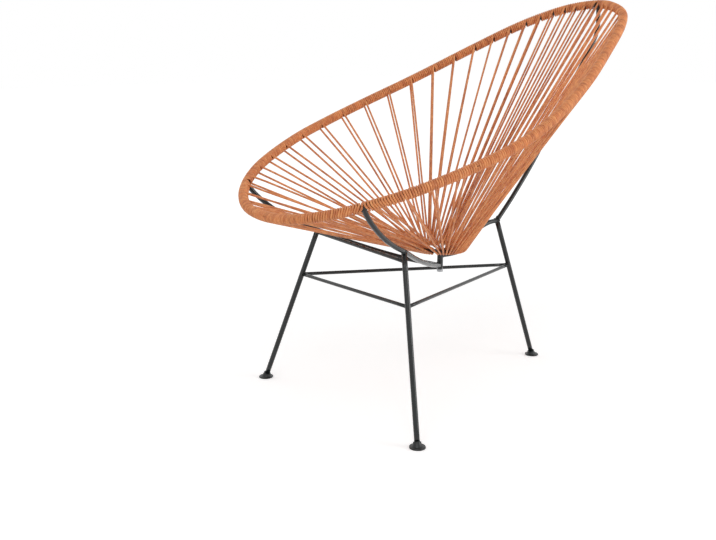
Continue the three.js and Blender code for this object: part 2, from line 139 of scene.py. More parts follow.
class ChairFrameSizes(bpy.types.PropertyGroup):
    """Sizes of the ribs, legs, cross bars and feet."""

    seat_frame_rod: length("Seat frame rod", 0.011, "Diameter of ribs, spoke and upright")
    leg_rod: length("Leg rod", 0.012, "Diameter of the legs")
    cross_rod: length("Cross rod", 0.008, "Diameter of the top bar and stretchers")
    front_foot_x: length("Front foot across", 0.279, "Where a front leg's axis meets the floor")
    front_foot_y: length("Front foot place", -0.337, "Where a front leg's axis meets the floor")
    rear_foot_y: length("Rear foot place", 0.307, "Where the rear leg's axis meets the floor")
    front_top_x: length("Front leg top across", 0.1525, "Where a front leg meets its rib")
    front_top_y: length("Front leg top place", -0.269, "Where a front leg meets its rib")
    front_top_z: length("Front leg top height", 0.376, "Where a front leg meets its rib")
    rear_top_y: length("Rear leg top place", 0.162, "Where the rear leg meets the spoke")
    rear_top_z: length("Rear leg top height", 0.372, "Where the rear leg meets the spoke")
    top_bar_left_z: length("Top bar left height", 0.356, "Height of the front top bar's left end")
    top_bar_right_z: length(
        "Top bar right height", 0.371, "Height of the front top bar's right end")
    front_bar_z: length(
        "Front stretcher height", 0.268, "Height of the stretchers at the front legs")
    rear_bar_z: length("Rear stretcher height", 0.255, "Height of the stretchers at the rear leg")
    foot_diameter: length("Foot diameter", 0.034, "Diameter of a foot disc")
    foot_thickness: length("Foot thickness", 0.004, "Thickness of a foot disc")
    collar_base: length("Collar base", 0.024, "Diameter of the foot's collar at the disc")
    collar_top: length("Collar top", 0.017, "Diameter of the foot's collar at its top")
    collar_height: length("Collar height", 0.012, "Height of the foot's collar along the leg")
    weld_bead: length("Weld bead", 0.0032, "Width of a weld bead on the main rods")


def tint(name, default, description):
    """A colour property in linear values."""
    return FloatVectorProperty(
        name=name, default=default, description=description, subtype="COLOR", size=3, min=0, max=1)


class ChairFinishes(bpy.types.PropertyGroup):
    """Colours of the cord and of the metal."""

    cord_light: tint("Cord light", (0.93, 0.425, 0.165), "Rubbed, sunlit parts of the cord")
    cord_middle: tint("Cord middle", (0.80, 0.275, 0.092), "The cord's main colour")
    cord_dark: tint("Cord dark", (0.46, 0.126, 0.044), "Darker lengths of the cord")
    paint: tint("Frame paint", (0.004, 0.0055, 0.006), "Paint on the steel")
    paint_dust: tint("Paint haze", (0.013, 0.017, 0.018), "Fine haze on the paint")
    bare_steel: tint("Worn steel", (0.20, 0.20, 0.20), "Where paint is rubbed through")
    zinc: tint("Zinc", (0.42, 0.43, 0.44), "Plating on the hub bolt")
    floor: tint("Floor", (0.93, 0.93, 0.93), "The plain floor")


def lamp_power(name, default, description):
    """A lamp's power in watts."""
    return FloatProperty(name=name, default=default, description=description, subtype="POWER")


class ChairStageSettings(bpy.types.PropertyGroup):
    """Camera and light."""

    camera_place: FloatVectorProperty(
        name="Camera place", default=(1.71629, -1.62134, 0.81404), size=3, subtype="TRANSLATION",
        description="Where the camera stands")
    azimuth: FloatProperty(
        name="Azimuth", default=math.radians(51.793), subtype="ANGLE",
        description="Turn of the view to the chair's left")
    elevation: FloatProperty(
        name="Elevation", default=math.radians(13.016), subtype="ANGLE",
        description="How far the camera looks down")
    lens: FloatProperty(
        name="Lens", default=51.17, subtype="DISTANCE_CAMERA", description="Focal length")
    key_light: lamp_power("Key light", 34.0, "Large lamp, front left")
    fill_light: lamp_power("Fill light", 12.0, "Large lamp, right")
    side_light: lamp_power("Side light", 37.0, "Lamp, back left")
    world_light: FloatProperty(
        name="World light", default=0.56, description="Even light from all round")


def settings(*names):
    """The scene's groups of chair settings with those names."""
    return [getattr(bpy.context.scene, f"chair_{name}") for name in names]


# Shape helpers. A path is an (n, 3) array of points.


def unit(vectors):
    """Each vector over its own length."""
    return vectors / np.linalg.norm(vectors, axis=-1, keepdims=True)


def dots(a, b):
    """The dot product of each pair of vectors, kept as a column."""
    return np.sum(a * b, axis=-1, keepdims=True)


def smooth_path(points, shares, closed=False):
    """A cubic through the points: over each span, the tangents at its two ends come from the
    neighbours weighted by the square root of their distances. shares run 0 to 1 over all spans."""
    p = np.asarray(points, float)
    if closed:
        chain, spans = np.concatenate([p[-1:], p, p[:2]]), len(p)
    else:
        chain, spans = np.concatenate([2 * p[:1] - p[1:2], p, 2 * p[-1:] - p[-2:-1]]), len(p) - 1
    x = np.asarray(shares, float) * spans
    i = np.clip(x.astype(int), 0, spans - 1)
    w = (x - i)[:, None]
    a, b, c, d = (chain[i + k] for k in range(4))
    r0, r1, r2 = (
        np.sqrt(np.linalg.norm(span, axis=1, keepdims=True)) for span in (b - a, c - b, d - c))
    m1 = ((b - a) / r0 - (c - a) / (r0 + r1) + (c - b) / r1) * r1
    m2 = ((c - b) / r1 - (d - b) / (r1 + r2) + (d - c) / r2) * r1
    return b + m1 * w + (3 * (c - b) - 2 * m1 - m2) * w ** 2 + (2 * (b - c) + m1 + m2) * w ** 3


def bends(start, end, shares):
    """Points between start and end: each has its share of the run in x and y, and of the rise
    in z."""
    s = np.array(shares, float)
    start, end = np.asarray(start, float), np.asarray(end, float)
    run = start[:2] + (end[:2] - start[:2]) * s[:, :1]
    rise = start[2:] + (end[2:] - start[2:]) * s[:, 1:]
    return np.concatenate([run, rise], axis=1)


def curve(*runs):
    """A smooth path through runs of points, with ten steps between neighbours."""
    points = np.concatenate(runs)
    return smooth_path(points, np.linspace(0, 1, (len(points) - 1) * 10 + 1))


def at_height(low, high, z):
    """The point at height z on the straight line from low to high."""
    low, high = np.asarray(low, float), np.asarray(high, float)
    return low + (high - low) * (z - low[2]) / (high[2] - low[2])


def path_tangents(path, closed=False):
    """The direction from the point before to the point after, of unit length."""
    if closed:
        return unit(np.roll(path, -1, axis=0) - np.roll(path, 1, axis=0))
    ends = np.concatenate([path[:1], path, path[-1:]])
    return unit(ends[2:] - ends[:-2])


def run_along(path):
    """The length of the path up to each of its points."""
    steps = np.linalg.norm(np.diff(path, axis=0), axis=1)
    return np.concatenate([[0.0], np.cumsum(steps)])


def array_mesh(name, points, corners, starts, smooth):
    """A mesh from arrays: its points, the points at its faces' corners, each face's first corner
    and whether each face is smooth."""
    mesh = bpy.data.meshes.new(name)
    mesh.vertices.add(points.size // 3)
    mesh.vertices.foreach_set("co", points.reshape(-1).astype(np.float32))
    mesh.loops.add(len(corners))
    mesh.loops.foreach_set("vertex_index", corners.astype(np.int32))
    mesh.polygons.add(len(starts))
    mesh.polygons.foreach_set("loop_start", starts.astype(np.int32))
    mesh.polygons.foreach_set("use_smooth", smooth)
    mesh.update(calc_edges=True)
    return mesh


def grid_mesh(name, rings, closed_path=False, uv_run=None, sharp=None):
    """A mesh from an (n, m, 3) grid of rings, with a wall of quads between neighbouring rings.
    An open run of rings gets a flat cap at each end. uv_run gives u at each ring, and v runs
    0 to 1 round the ring. Edges sharper than the angle sharp stay sharp."""
    n, m = rings.shape[:2]
    rows = np.arange(n if closed_path else n - 1)
    later = (rows + 1) % n
    j = np.arange(m)
    k = (j + 1) % m
    quads = np.stack([
        rows[:, None] * m + j, rows[:, None] * m + k, later[:, None] * m + k,
        later[:, None] * m + j,
    ], axis=-1).reshape(-1, 4)
    loops = [quads.ravel()]
    sizes = [np.full(len(quads), 4)]
    if not closed_path:
        loops += [j[::-1], (n - 1) * m + j]
        sizes += [np.array([m, m])]
    sizes = np.concatenate(sizes)
    smooth = np.ones(len(sizes), bool)
    if not closed_path:
        smooth[-2:] = False
    mesh = array_mesh(name, rings, np.concatenate(loops), np.cumsum(sizes) - sizes, smooth)
    if uv_run is not None:
        u = np.asarray(uv_run, float)
        after = np.where(later == 0, 2 * u[-1] - u[-2], u[later])
        v0, v1 = j / m, (j + 1) / m
        wall = np.empty((len(rows), m, 4, 2))
        wall[:, :, 0:2, 0] = u[rows][:, None, None]
        wall[:, :, 2:4, 0] = after[:, None, None]
        wall[:, :, [0, 3], 1] = v0[None, :, None]
        wall[:, :, [1, 2], 1] = v1[None, :, None]
        uv = wall.reshape(-1, 2)
        if not closed_path:
            ends = np.stack([np.concatenate([np.full(m, u[0]), np.full(m, u[-1])]),
                             np.concatenate([v0[::-1], v0])], axis=1)
            uv = np.concatenate([uv, ends])
        layer = mesh.uv_layers.new(name="along_cord")
        layer.uv.foreach_set("vector", uv.reshape(-1).astype(np.float32))
    if sharp is not None:
        mesh.set_sharp_from_angle(angle=sharp)
    return mesh


def rings_about(centres, along, sides, radius, count, phase=0.0):
    """A ring round each centre: the centre plus radius times (cos t first + sin t second), where
    first is the side vector made square to along, second is along x first, and t starts a
    phase's share of one step past first."""
    first = unit(sides - along * dots(sides, along))
    second = np.cross(along, first)
    t = TURN * (np.arange(count) + phase) / count
    reach = np.broadcast_to(np.asarray(radius, float), (len(centres),))[:, None, None]
    ring = np.cos(t)[None, :, None] * first[:, None] + np.sin(t)[None, :, None] * second[:, None]
    return centres[:, None] + reach * ring


def tube_mesh(name, path, side, diameter, count, closed=False):
    """A round rod carried along a path, with u in metres along it."""
    rings = rings_about(path, path_tangents(path, closed), side, diameter / 2, count, phase=0.5)
    return grid_mesh(name, rings, closed_path=closed, uv_run=run_along(path))


def rod_mesh(name, start, end, side, diameter, count):
    """A straight round rod from start to end, in twelve lengths."""
    path = start + (end - start) * np.linspace(0, 1, 13)[:, None]
    return tube_mesh(name, path, side, diameter, count)


def round_rings(radius, z):
    """Rings round the z axis: (r cos t, r sin t, z) at each height z, with t in equal steps.
    radius holds a row of r for each height."""
    t = TURN * np.arange(radius.shape[1]) / radius.shape[1]
    height = np.broadcast_to(np.asarray(z, float)[:, None], radius.shape)
    return np.stack([radius * np.cos(t), radius * np.sin(t), height], axis=-1)


def turned_mesh(name, profile, middle, crease, closed=False, count=48):
    """A turned part: the profile's radius swept round the upright axis through middle. The
    profile runs up the outside and gets a flat cap at each end, or it runs round a hole and is
    closed. Edges sharper than crease stay sharp."""
    r, z = np.array(profile, float).T
    rings = round_rings(np.repeat(r[:, None], count, axis=1), z)
    return grid_mesh(name, rings + middle, closed_path=closed, sharp=crease)


def rounded_section(r, low, high, radius, steps=5):
    """The outside of a disc's section, from bottom to top: its two corners at r are quarter
    circles of that radius."""
    t = np.linspace(0, TURN / 4, steps + 1)
    x, z = r - radius + radius * np.sin(t), radius * np.cos(t)
    return [*zip(x, low + radius - z), *zip(x[::-1], high - radius + z[::-1])]


def joined_mesh(name, meshes, sharp=None):
    """One mesh of several closed shells, which stay apart in it."""

    def read(items, key, kind, width=1):
        values = np.empty(len(items) * width, kind)
        items.foreach_get(key, values)
        return values

    points = [read(mesh.vertices, "co", np.float32, 3) for mesh in meshes]
    corners = [read(mesh.loops, "vertex_index", np.int32) for mesh in meshes]
    starts = [read(mesh.polygons, "loop_start", np.int32) for mesh in meshes]
    smooth = [read(mesh.polygons, "use_smooth", bool) for mesh in meshes]
    past_points = np.cumsum([0] + [len(part) // 3 for part in points])
    past_corners = np.cumsum([0] + [len(part) for part in corners])
    for mesh in meshes:
        bpy.data.meshes.remove(mesh)
    joined = array_mesh(
        name, np.concatenate(points),
        np.concatenate([part + past for part, past in zip(corners, past_points)]),
        np.concatenate([part + past for part, past in zip(starts, past_corners)]),
        np.concatenate(smooth))
    if sharp is not None:
        joined.set_sharp_from_angle(angle=sharp)
    return joined


def put_piece(mesh, material, slot, *nodes):
    """Links a finished mesh as a piece that rides on the chair and stands for CAD nodes."""
    piece = bpy.data.objects.new(mesh.name, mesh)
    bpy.context.scene.collection.objects.link(piece)
    mesh.materials.append(material)
    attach(piece, "root")
    if nodes:
        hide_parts(*nodes)


def put_painted(mesh, *nodes):
    """Links a finished mesh of painted frame steel."""
    put_piece(mesh, paint_material(), "painted_steel", *nodes)


# The hoop, and the cord that is wound on it


class Hoop:
    """The hoop's centre line, measured by its own length from the front middle up the left side."""

    samples = 8001

    def __init__(self, seat):
        self.seat = seat
        rim = seat.hoop_rod / 2 + seat.seat_gap + seat.cord
        x, y, z = np.array(HOOP_SHARES, float).T
        run, rise = seat.seat_depth - 2 * rim, seat.seat_top - seat.front_top
        half = np.stack([
            x * (seat.seat_width / 2 - rim),
            y * run - seat.seat_depth / 2 + rim,
            z * rise + seat.front_top - rim,
        ], axis=1)
        self.points = np.concatenate([half, half[1:-1][::-1] * TO_OTHER_SIDE])
        self.normal = unit(np.array([0.0, -rise, run]))
        self.shares = np.linspace(0, 1, self.samples)
        self.runs = run_along(smooth_path(self.points, self.shares, closed=True))
        self.whole = self.runs[-1]

    def centre(self, run):
        """The point that far along the centre line."""
        share = np.interp(np.mod(run, self.whole), self.runs, self.shares)
        return smooth_path(self.points, np.clip(share, 0, 1 - 1e-12), closed=True)

    def axes(self, run):
        """Tangent, up and out at that point: up is the hoop plane's normal made square to the
        tangent."""
        step = self.whole * 1e-5
        along = unit(self.centre(run + step) - self.centre(run - step))
        above = unit(self.normal - along * dots(self.normal, along))
        return along, above, np.cross(along, above)

    def ray_run(self, place):
        """How far along the hoop a place counted in rays is. With u the share of the half passed,
        the share of its length is u - swing sin(2 pi u) / (2 pi) + lean sin(pi u) / pi."""
        half = self.seat.rays_per_half
        place = np.asarray(place, float)
        lap = np.floor(place / (2 * half))
        place = place - lap * 2 * half
        u = np.where(place <= half, place, 2 * half - place) / half
        share = u - self.seat.ray_swing * np.sin(TURN * u) / TURN
        share = (share + self.seat.ray_lean * np.sin(TURN / 2 * u) / (TURN / 2)) / 2
        return (lap + np.where(place <= half, share, 1 - share)) * self.whole


def loop_angles(seat, hub):
    """The angle of each ray's turn round the hub ring, one cord and gap apart, with room for a
    bracket arm at each rib and one behind, and the radius of the turns' circle."""
    half = seat.rays_per_half
    pitch, arm = seat.cord + hub.cord_gap, hub.arm_width + hub.cord_gap
    circle = (2 * half * pitch + 3 * arm) / TURN
    ray = np.arange(2 * half)
    near = np.where(ray < half, ray, 2 * half - 1 - ray)
    turn = pitch / circle * (near + 0.5) + np.where(near >= RIB_RAY, arm / circle, 0)
    return np.where(ray < half, 1, -1) * turn - TURN / 4, circle


def ring_sizes(seat, hub):
    """Radius of a turn of cord round the hub ring's rod, and radius of the ring's centre line."""
    turn = (hub.ring_rod + seat.cord) / 2 + seat.seat_gap
    return turn, loop_angles(seat, hub)[1] + turn


def upper_side(direction, out):
    """The direction square to both, on its upper side."""
    side = unit(np.cross(direction, out))
    return side * np.where(side[:, 2:] < 0, -1, 1)


def angle_on_rim(vectors, above, outward):
    """The angle a at which cos a above + sin a outward points as each vector does."""
    return np.arctan2(dots(vectors, outward)[:, 0], dots(vectors, above)[:, 0])


class CordPath:
    """The one cord's whole path. On the rim it is a helix: centre + R (cos a up + sin a out), where
    a falls by a whole turn each pitch. At each ray its inner half turn is led to the hub ring
    instead, round it in a half circle, and back under the rim. Rays and posts are whole arrays
    here, one row for each. The posts are the ribs' and the upright's ends at the hoop."""

    seed = 11
    turn_points, loop_points, strand_points = 14, 13, 12
    play_draws, points_per_draw = 200, 6

    def __init__(self, lines):
        self.seat, self.hub, size = settings("seat", "hub", "frame")
        seat = self.seat
        self.hoop = lines.hoop
        self.dice = np.random.default_rng(self.seed)
        self.count = 2 * seat.rays_per_half
        self.reach = (seat.hoop_rod + seat.cord) / 2 + seat.seat_gap
        self.aside = seat.turn_pitch / 4
        self.clear = size.seat_frame_rod / 2 + seat.cord / 2 + 2 * seat.seat_gap
        self.find_rays()
        self.find_posts(lines)
        self.paths, self.sides, self.places = [], [], []

    def find_rays(self):
        """Where each ray leaves the rim and meets the hub ring, and the directions there."""
        hub, hoop = self.hub, self.hoop
        self.turn_radius, ring_radius = ring_sizes(self.seat, hub)
        angles, _ = loop_angles(self.seat, hub)
        self.place = hoop.ray_run(np.arange(self.count) + 0.5)
        self.along, above, outward = hoop.axes(self.place)
        self.ring_along = np.stack([-np.sin(angles), np.cos(angles), 0 * angles], axis=1)
        self.on_ring = np.stack([
            np.cos(angles) * ring_radius, hub.hub_y + np.sin(angles) * ring_radius,
            0 * angles + hub.ring_height,
        ], axis=1)
        out = unit(hoop.centre(self.place) - self.on_ring)
        self.rim_over = upper_side(self.along, out)
        self.ring_over = upper_side(self.ring_along, out)
        ring_in = unit(np.cross(self.ring_over, self.ring_along))
        self.ring_in = ring_in * np.where(dots(ring_in, out) > 0, -1, 1)
        self.leave = angle_on_rim(self.rim_over, above, outward)

    def find_posts(self, lines):
        """Where the rods' ends meet the hoop, the angle on the rim of the cord's way over each and
        of the rod itself, and how far the turns beside them lean."""
        seat, hub, hoop = self.seat, self.hub, self.hoop
        self.posts = hoop.ray_run(np.array([RIB_RAY, seat.rays_per_half, self.count - RIB_RAY]))
        along, above, outward = hoop.axes(self.posts)
        out = unit(hoop.centre(self.posts) - np.array([[0, hub.hub_y, hub.ring_height]]))
        self.post_angle = angle_on_rim(upper_side(along, out), above, outward)
        rib, upright = (path[-2] - path[-1] for path in (lines.rib, lines.upright))
        rods = np.stack([rib, upright, rib * TO_OTHER_SIDE])
        self.rod_angle = angle_on_rim(rods, above, outward)
        beside = self.clear + seat.turn_pitch * 3 / 4
        self.lean = (self.clear - seat.turn_pitch / 4) / (1 - beside / seat.post_spread)

    def leaned(self, run, angle):
        """The run with each turn's far side drawn towards the middle of a rod's end: by lean x
        (1 - distance / spread), times the cosine of the angle from the side away from the rod."""
        run = run.copy()
        for post, rod in zip(self.posts, self.rod_angle):
            away = (run - post + self.hoop.whole / 2) % self.hoop.whole - self.hoop.whole / 2
            far = np.maximum(0, -np.cos(angle - rod))
            near = np.maximum(0, 1 - np.maximum(np.abs(away), self.clear) / self.seat.post_spread)
            run -= np.clip(away / self.clear, -1, 1) * self.lean * near * far
        return run

    def add(self, points, side, run):
        """Adds points to the path, with their side vectors and their run along the hoop."""
        self.paths.append(points)
        self.sides.append(np.broadcast_to(side, points.shape))
        self.places.append(np.broadcast_to(run, (len(points),)).astype(float))

    def add_on_rim(self, run, angle):
        """Adds points of the helix, with the small unevenness of a hand's winding."""
        laid = self.leaned(run, angle)
        tangent, normal, away = self.hoop.axes(laid)
        draws = self.dice.uniform(-1, 1, self.play_draws)
        steps = np.arange(len(laid)) / self.points_per_draw
        play = np.interp(steps, np.arange(self.play_draws), draws) * self.seat.hand_play
        wide = (self.reach + np.abs(play))[:, None]
        a = angle[:, None]
        round_rod = wide * (np.cos(a) * normal + np.sin(a) * away)
        self.add(self.hoop.centre(laid + play) + round_rod, tangent, run)

    def wind(self, start, start_angle, end, end_angle):
        """Adds turns from one run and angle to another, as many as fit at the least pitch."""
        part = (start_angle - end_angle) / TURN
        laps = math.floor((end - start) / self.seat.turn_pitch - part) + part
        share = np.linspace(0, 1, max(2, round(laps * self.turn_points)) + 1)
        self.add_on_rim(start + (end - start) * share, start_angle - laps * TURN * share)

    def wind_to_next(self, ray):
        """The winding from one ray to the next, round any rod's end that stands between them."""
        here, there = ray % self.count, (ray + 1) % self.count
        start = self.hoop.ray_run(ray + 0.5) + self.aside
        end = self.hoop.ray_run(ray + 1.5) - self.aside
        lap = math.floor((ray + 1) / self.count) * self.hoop.whole
        angle, goal = self.leave[here] - TURN / 2, self.leave[there]
        for post, over_post in zip(self.posts + lap, self.post_angle):
            if start < post < end:
                self.wind(start, angle, post - self.clear, over_post + TURN / 2)
                share = np.linspace(0, 1, self.loop_points)[1:-1]
                eased = post - self.clear + 2 * self.clear * share * share * (3 - 2 * share)
                self.add_on_rim(eased, over_post + TURN / 2 * (1 - share))
                start, angle = post + self.clear, over_post
        self.wind(start, angle, end, goal)

    def string(self, ray):
        """One ray: a strand down from over the rim, its turn round the hub ring, and a strand back
        under the rim. Each strand is a straight line plus a bow of 4 s (1 - s)."""
        way = np.array([-1, 1])
        beside = self.hoop.centre(self.place[ray] + way * self.aside)
        top, under = beside - way[:, None] * self.rim_over[ray] * self.reach
        swing = np.linspace(TURN / 4, -TURN / 4, self.loop_points)[:, None]
        loop = self.on_ring[ray] + self.turn_radius * (
            np.sin(swing) * self.ring_over[ray] + np.cos(swing) * self.ring_in[ray])
        share = np.linspace(0, 1, self.strand_points)[1:-1][:, None]
        bows = self.dice.uniform(-1, 1, (2, 2)) * self.seat.strand_bow
        towards = self.along[ray] * (1 - share) + self.ring_along[ray] * share
        down, back = (
            start + (end - start) * share
            + 4 * share * (1 - share) * (bow[0] * self.along[ray] + bow[1] * self.rim_over[ray])
            for start, end, bow in ((top, loop[0], bows[0]), (loop[-1], under, bows[1])))
        self.add(down, towards, self.place[ray])
        self.add(loop, self.ring_along[ray], self.place[ray])
        self.add(back, towards[::-1], self.place[ray])

    def lay(self):
        """The path, its side vectors, the run along the hoop that each point belongs to, and the
        length along the cord."""
        self.wind_to_next(-1)
        for ray in range(self.count):
            self.string(ray)
            self.wind_to_next(ray)
        path = np.concatenate(self.paths)
        return path, np.concatenate(self.sides), np.concatenate(self.places), run_along(path)


def cut_cord(cord, start, end):
    """The part of the cord between two runs along the hoop, cut square at both."""
    path, sides, places, runs = cord
    inside = (places > start) & (places < end)
    first = np.argmax(inside)
    last = len(inside) - 1 - np.argmax(inside[::-1])

    def between(i, place):
        w = (place - places[i]) / (places[i + 1] - places[i])
        return [a[i] * (1 - w) + a[i + 1] * w for a in (path, sides, runs)]

    ends = zip(between(first - 1, start), between(last, end))
    kept = (a[first:last + 1] for a in (path, sides, runs))
    return [np.concatenate([[begin], a, [finish]]) for a, (begin, finish) in zip(kept, ends)]


# Node groups


def node_group(name, inputs, outputs):
    """An empty shader group with its named sockets, and its two end nodes."""
    group = bpy.data.node_groups.new(name, "ShaderNodeTree")
    for socket, kind, default in inputs:
        item = group.interface.new_socket(name=socket, in_out="INPUT", socket_type=kind)
        if default is not None:
            item.default_value = default
    for socket, kind in outputs:
        group.interface.new_socket(name=socket, in_out="OUTPUT", socket_type=kind)
    return group, group.nodes.new("NodeGroupInput"), group.nodes.new("NodeGroupOutput")


def set_inputs(tree, node, inputs):
    """Links or sets a node's inputs. inputs pairs each, by name or number, with a socket or a
    value."""
    for socket, value in inputs:
        if isinstance(value, bpy.types.NodeSocket):
            tree.links.new(value, node.inputs[socket])
        else:
            node.inputs[socket].default_value = value


def add_node(tree, kind, inputs=(), **choices):
    """A node with its choices made and its inputs set."""
    node = tree.nodes.new(kind)
    for key, value in choices.items():
        setattr(node, key, value)
    set_inputs(tree, node, inputs)
    return node


def maths(tree, operation, a, b=0.0):
    """The result of one sum."""
    return add_node(tree, "ShaderNodeMath", [(0, a), (1, b)], operation=operation).outputs[0]


def weighed(tree, a, b, share):
    """That share of a, and the rest of b."""
    parts = (maths(tree, "MULTIPLY", a, share), maths(tree, "MULTIPLY", b, 1 - share))
    return maths(tree, "ADD", *parts)


def blended(tree, share, a, b):
    """Colour a turning to colour b by a share."""
    mix = add_node(tree, "ShaderNodeMix", [(0, share), (6, a), (7, b)], data_type="RGBA")
    return mix.outputs[2]


def ranged(tree, value, low, high, to_low=0.0, to_high=1.0):
    """A value from low to high, brought to another range and held inside it."""
    return add_node(tree, "ShaderNodeMapRange", [
        ("Value", value), ("From Min", low), ("From Max", high),
        ("To Min", to_low), ("To Max", to_high),
    ]).outputs["Result"]


def noise(tree, vector, scale, detail=2.0, roughness=0.5):
    """Noise from 0 to 1 on a vector in metres."""
    return add_node(tree, "ShaderNodeTexNoise", [
        ("Vector", vector), ("Scale", scale), ("Detail", detail), ("Roughness", roughness),
    ]).outputs[0]


def cord_skin_group():
    """Skin of a round leather cord. The UV map's u is metres along it and v is the share round it,
    so (u, r cos 2 pi v, r sin 2 pi v) runs over its surface with no seam. Fibres are noise
    stretched along u, pores are small cells, and the colour drifts slowly along u."""
    group, start, end = node_group(
        "Round leather cord",
        [("UV", "NodeSocketVector", None), ("Radius", "NodeSocketFloat", 0.0024),
         ("Light", "NodeSocketColor", (1, 1, 1, 1)), ("Middle", "NodeSocketColor", (1, 1, 1, 1)),
         ("Dark", "NodeSocketColor", (1, 1, 1, 1)), ("Rough", "NodeSocketFloat", 0.5)],
        [("Colour", "NodeSocketColor"), ("Roughness", "NodeSocketFloat"),
         ("Height", "NodeSocketFloat")])
    uv = add_node(group, "ShaderNodeSeparateXYZ", [(0, start.outputs["UV"])])
    turn = maths(group, "MULTIPLY", uv.outputs[1], TURN)
    radius = start.outputs["Radius"]
    y = maths(group, "MULTIPLY", maths(group, "COSINE", turn), radius)
    z = maths(group, "MULTIPLY", maths(group, "SINE", turn), radius)

    def skin(stretch):
        x = maths(group, "MULTIPLY", uv.outputs[0], stretch)
        return add_node(group, "ShaderNodeCombineXYZ", [(0, x), (1, y), (2, z)]).outputs[0]

    fibres = noise(group, skin(0.12), scale=1500, detail=3)
    pores = add_node(
        group, "ShaderNodeTexVoronoi", [("Vector", skin(0.7)), ("Scale", 1300.0)]).outputs[0]
    mottle = noise(group, skin(0.5), scale=150, detail=3, roughness=0.6)
    drift = noise(group, skin(1.0), scale=9, roughness=0.6)
    lengths = noise(group, skin(1.0), scale=2.2, detail=1)
    not_dark = ranged(group, weighed(group, drift, lengths, 0.6), 0.40, 0.62)
    colour = blended(group, not_dark, start.outputs["Dark"], start.outputs["Middle"])
    light = ranged(group, weighed(group, mottle, fibres, 0.6), 0.44, 0.66)
    colour = blended(group, light, colour, start.outputs["Light"])
    crease = ranged(group, pores, 0.0, 0.28, 0.72, 1.0)
    colour = blended(group, crease, start.outputs["Dark"], colour)
    patches = ranged(group, mottle, 0.35, 0.65, -0.07, 0.09)
    rough = maths(group, "ADD", start.outputs["Rough"], patches)
    height = weighed(group, fibres, crease, 0.7)
    set_inputs(group, end, [("Colour", colour), ("Roughness", rough), ("Height", height)])
    return group


def metal_skin_group():
    """Coating on steel, on Object coordinates: a fine orange peel, a drift of its haze, and worn
    spots where a noise passes the wear's limit near the floor, from 0 at the wear's height to its
    full share at z 0."""
    group, start, end = node_group(
        "Coated steel",
        [("Place", "NodeSocketVector", None), ("Base", "NodeSocketColor", (1, 1, 1, 1)),
         ("Haze", "NodeSocketColor", (1, 1, 1, 1)), ("Worn", "NodeSocketColor", (1, 1, 1, 1)),
         ("Rough", "NodeSocketFloat", 0.4), ("Peel Size", "NodeSocketFloat", 900.0),
         ("Wear Height", "NodeSocketFloat", 0.02), ("Wear", "NodeSocketFloat", 0.3)],
        [("Colour", "NodeSocketColor"), ("Roughness", "NodeSocketFloat"),
         ("Height", "NodeSocketFloat"), ("Worn Mask", "NodeSocketFloat")])
    place = start.outputs["Place"]
    peel = noise(group, place, start.outputs["Peel Size"])
    haze = noise(group, place, scale=26, detail=4, roughness=0.62)
    scuffs = noise(group, place, scale=420, detail=4, roughness=0.7)
    height = add_node(group, "ShaderNodeSeparateXYZ", [(0, place)]).outputs[2]
    near_floor = ranged(
        group, height, 0.0, start.outputs["Wear Height"], start.outputs["Wear"], 0.0)
    worn = ranged(group, maths(group, "ADD", scuffs, near_floor), 0.70, 0.78)
    hazed = ranged(group, haze, 0.42, 0.74, 0.0, 0.8)
    colour = blended(group, hazed, start.outputs["Base"], start.outputs["Haze"])
    colour = blended(group, worn, colour, start.outputs["Worn"])
    patches = ranged(group, haze, 0.3, 0.7, -0.05, 0.08)
    rough = maths(group, "ADD", start.outputs["Rough"], patches)
    set_inputs(group, end, [
        ("Colour", colour), ("Roughness", rough), ("Height", peel), ("Worn Mask", worn)])
    return group


def rgba(value):
    """A colour property with its alpha."""
    return (*value, 1.0)


def new_material(name):
    """A material with only its shader and output, and the shader."""
    made = bpy.data.materials.new(name)
    made.use_nodes = True
    shader = made.node_tree.nodes["Principled BSDF"]
    return made, made.node_tree, shader


def dress(tree, shader, skin, relief, relief_size, plain):
    """Gives the shader a skin group's colour, roughness and relief, and its own plain values."""
    bump = add_node(tree, "ShaderNodeBump", [
        ("Height", skin.outputs["Height"]), ("Strength", relief), ("Distance", relief_size)])
    set_inputs(tree, shader, [
        ("Base Color", skin.outputs["Colour"]), ("Roughness", skin.outputs["Roughness"]),
        ("Normal", bump.outputs[0]), *plain])


def cord_material():
    """Satin cognac leather on a round cord."""
    finish, seat = settings("finishes", "seat")
    made, tree, shader = new_material("cognac_cord")
    uv = add_node(tree, "ShaderNodeUVMap", uv_map="along_cord")
    skin = add_node(tree, "ShaderNodeGroup", node_tree=cord_skin_group(), inputs=[
        ("UV", uv.outputs[0]), ("Radius", seat.cord / 2), ("Light", rgba(finish.cord_light)),
        ("Middle", rgba(finish.cord_middle)), ("Dark", rgba(finish.cord_dark)), ("Rough", 0.47)])
    dress(tree, shader, skin, relief=0.35, relief_size=0.0004, plain=[("Specular IOR Level", 0.45)])
    return made


def metal_material(name, base, haze, worn, rough, peel, wear_height, wear, relief_size, plain):
    """Steel under a coating, with its own values in the shared group and on the shader."""
    made, tree, shader = new_material(name)
    place = add_node(tree, "ShaderNodeTexCoord")
    skin_group = bpy.data.node_groups["Coated steel"]
    skin = add_node(tree, "ShaderNodeGroup", node_tree=skin_group, inputs=[
        ("Place", place.outputs["Object"]), ("Base", rgba(base)), ("Haze", rgba(haze)),
        ("Worn", rgba(worn)), ("Rough", rough), ("Peel Size", peel), ("Wear Height", wear_height),
        ("Wear", wear)])
    dress(tree, shader, skin, relief=0.3, relief_size=relief_size,
          plain=[("Coat Roughness", 0.14), *plain])
    return made


